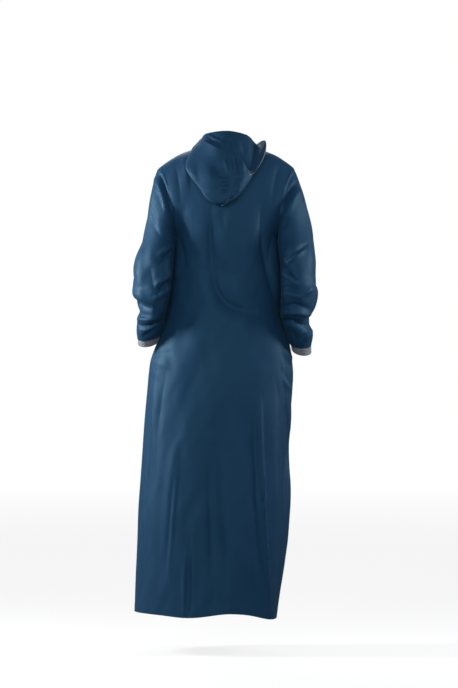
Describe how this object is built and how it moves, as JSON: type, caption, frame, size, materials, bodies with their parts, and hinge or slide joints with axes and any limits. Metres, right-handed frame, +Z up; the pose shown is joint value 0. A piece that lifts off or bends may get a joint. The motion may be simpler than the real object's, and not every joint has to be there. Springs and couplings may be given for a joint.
{
  "type": "djellaba robe",
  "caption": "Long hooded djellaba robe, hollow as worn, with long sleeves, striped cuff bands, side slits and the hood thrown back.",
  "frame": {"origin": "between the shoulders, level with the shoulder line, inside the neck opening, where the wearer's shoulders hold the robe", "axes": "+Z up, -Y the way the wearer faces, +X the wearer's left"},
  "size_m": [0.5406, 0.3579, 1.4007],
  "materials": {
    "robe_cloth": "petrol blue twill with a soft satin sheen",
    "band_cloth": "silver grey cloth with fine stripes"
  },
  "bodies": {
    "root": {"back_panel": "robe_cloth", "front_panel": "robe_cloth", "sleeve_left": "robe_cloth", "sleeve_right": "robe_cloth", "hood_left": "robe_cloth", "hood_right": "robe_cloth", "cuff_band_left": "band_cloth", "cuff_band_right": "band_cloth", "hood_edge_band": "band_cloth"}
  },
  "joints": []
}
